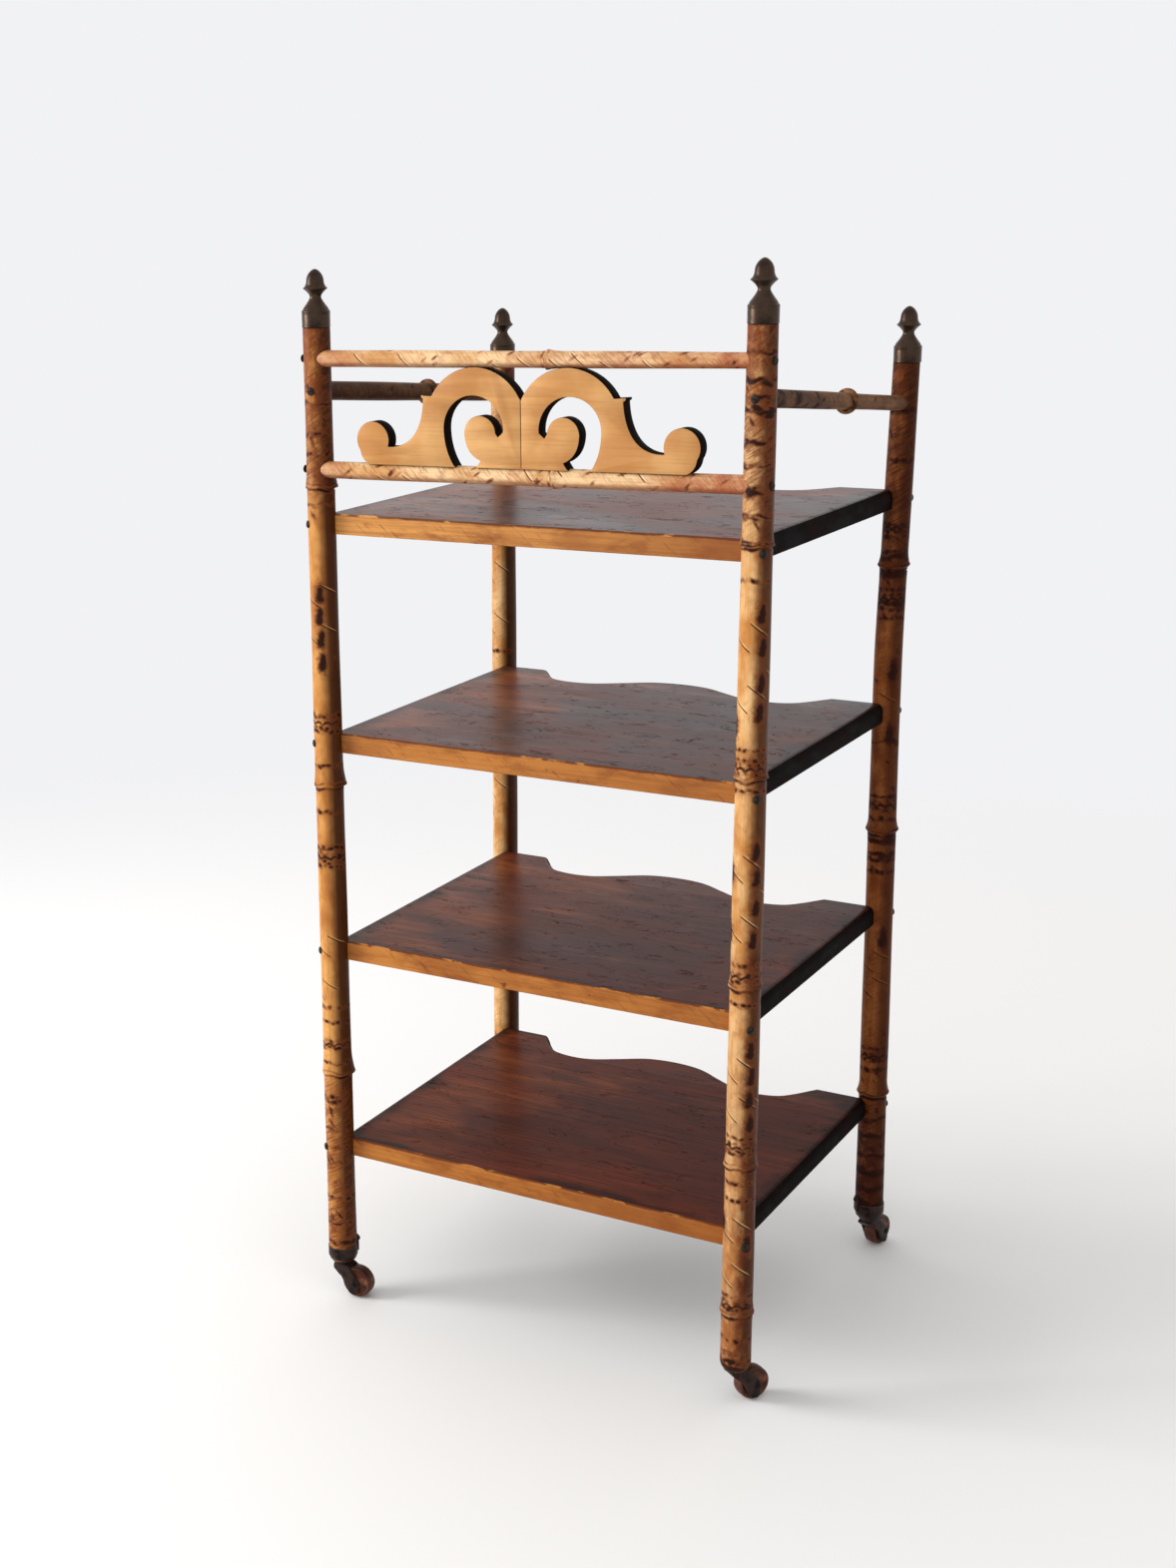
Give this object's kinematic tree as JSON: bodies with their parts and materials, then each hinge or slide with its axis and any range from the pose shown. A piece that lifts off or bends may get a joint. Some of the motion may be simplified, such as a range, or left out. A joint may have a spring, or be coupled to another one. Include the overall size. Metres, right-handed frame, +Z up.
{
  "type": "bamboo etagere",
  "caption": "Open display stand of burnt bamboo posts on castors, with serpentine-fronted wood shelves, cane gallery rails, scroll-sawn back fretwork and acorn finials.",
  "frame": {"origin": "on the floor, at the middle of the box round the whole stand, castors included", "axes": "+Z up, +Y towards the serpentine fronts of the shelves, +X to the right for someone who looks along +Y"},
  "size_m": [0.5084, 0.4384, 1.116],
  "materials": {
    "bamboo": "lacquered cane, burnt decoration",
    "red_bamboo": "lacquered red-brown cane",
    "rail_bamboo": "lacquered straw cane",
    "brown_rail": "dull grey-brown cane",
    "mahogany": "worn semi-gloss",
    "maple": "satin varnish",
    "bronze": "dark antique bronze",
    "iron": "dark, dull",
    "wheel_wood": "dull turned hardwood"
  },
  "bodies": {
    "frame": {"back_left_post": "bamboo", "back_left_finial": "bronze", "back_right_post": "bamboo", "back_right_finial": "bronze", "front_left_post": "bamboo", "front_left_finial": "bronze", "front_right_post": "red_bamboo", "front_right_finial": "bronze", "bottom_shelf": "mahogany", "lower_middle_shelf": "mahogany", "upper_middle_shelf": "mahogany", "top_shelf": "mahogany", "upper_gallery_rail": "rail_bamboo", "lower_gallery_rail": "rail_bamboo", "left_side_rail": "brown_rail", "right_side_rail": "brown_rail", "left_fret": "maple", "right_fret": "maple", "bottom_shelf_screw_back_left": "iron", "bottom_shelf_screw_back_right": "iron", "bottom_shelf_screw_front_left": "iron", "bottom_shelf_screw_front_right": "iron", "lower_middle_shelf_screw_back_left": "iron", "lower_middle_shelf_screw_back_right": "iron", "lower_middle_shelf_screw_front_left": "iron", "lower_middle_shelf_screw_front_right": "iron", "upper_middle_shelf_screw_back_left": "iron", "upper_middle_shelf_screw_back_right": "iron", "upper_middle_shelf_screw_front_left": "iron", "upper_middle_shelf_screw_front_right": "iron", "top_shelf_screw_back_left": "iron", "top_shelf_screw_back_right": "iron", "top_shelf_screw_front_left": "iron", "top_shelf_screw_front_right": "iron", "upper_gallery_rail_screw_back_left": "iron", "upper_gallery_rail_screw_back_right": "iron", "lower_gallery_rail_screw_back_left": "iron", "lower_gallery_rail_screw_back_right": "iron", "left_side_rail_screw_back_left": "iron", "left_side_rail_screw_front_left": "iron", "right_side_rail_screw_back_right": "iron", "right_side_rail_screw_front_right": "iron", "back_left_ferrule": "bronze", "ferrule_screw_back_left": "iron", "front_left_ferrule": "bronze", "ferrule_screw_front_left": "iron", "front_right_ferrule": "bronze", "ferrule_screw_front_right": "iron"},
    "back_left_castor": {"back_left_fork": "bronze", "back_left_axle": "iron"},
    "back_left_roller": {"back_left_wheel": "wheel_wood"},
    "back_right_castor": {"back_right_fork": "bronze", "back_right_axle": "iron"},
    "back_right_roller": {"back_right_wheel": "wheel_wood"},
    "front_left_castor": {"front_left_fork": "bronze", "front_left_axle": "iron"},
    "front_left_roller": {"front_left_wheel": "wheel_wood"},
    "front_right_castor": {"front_right_fork": "bronze", "front_right_axle": "iron"},
    "front_right_roller": {"front_right_wheel": "wheel_wood"}
  },
  "joints": [
    {"name": "back_left_swivel", "type": "hinge", "parent": "frame", "child": "back_left_castor", "pos_m": [-0.23711, -0.20173, 0.038], "axis": [0, 0, 1], "continuous": true},
    {"name": "back_left_roll", "type": "hinge", "parent": "back_left_castor", "child": "back_left_roller", "pos_m": [-0.21762, -0.20139, 0.01723], "axis": [-0.0175, 0.9998, 0], "continuous": true},
    {"name": "back_right_swivel", "type": "hinge", "parent": "frame", "child": "back_right_castor", "pos_m": [0.22889, -0.20173, 0.038], "axis": [0, 0, 1], "continuous": true},
    {"name": "back_right_roll", "type": "hinge", "parent": "back_right_castor", "child": "back_right_roller", "pos_m": [0.23979, -0.18557, 0.01723], "axis": [-0.829, 0.5592, 0], "continuous": true},
    {"name": "front_left_swivel", "type": "hinge", "parent": "frame", "child": "front_left_castor", "pos_m": [-0.23711, 0.18227, 0.038], "axis": [0, 0, 1], "continuous": true},
    {"name": "front_left_roll", "type": "hinge", "parent": "front_left_castor", "child": "front_left_roller", "pos_m": [-0.22217, 0.1948, 0.01723], "axis": [-0.6428, 0.766, 0], "continuous": true},
    {"name": "front_right_swivel", "type": "hinge", "parent": "frame", "child": "front_right_castor", "pos_m": [0.23209, 0.18227, 0.038], "axis": [0, 0, 1], "continuous": true},
    {"name": "front_right_roll", "type": "hinge", "parent": "front_right_castor", "child": "front_right_roller", "pos_m": [0.23614, 0.20134, 0.01723], "axis": [-0.9782, 0.2079, 0], "continuous": true}
  ]
}
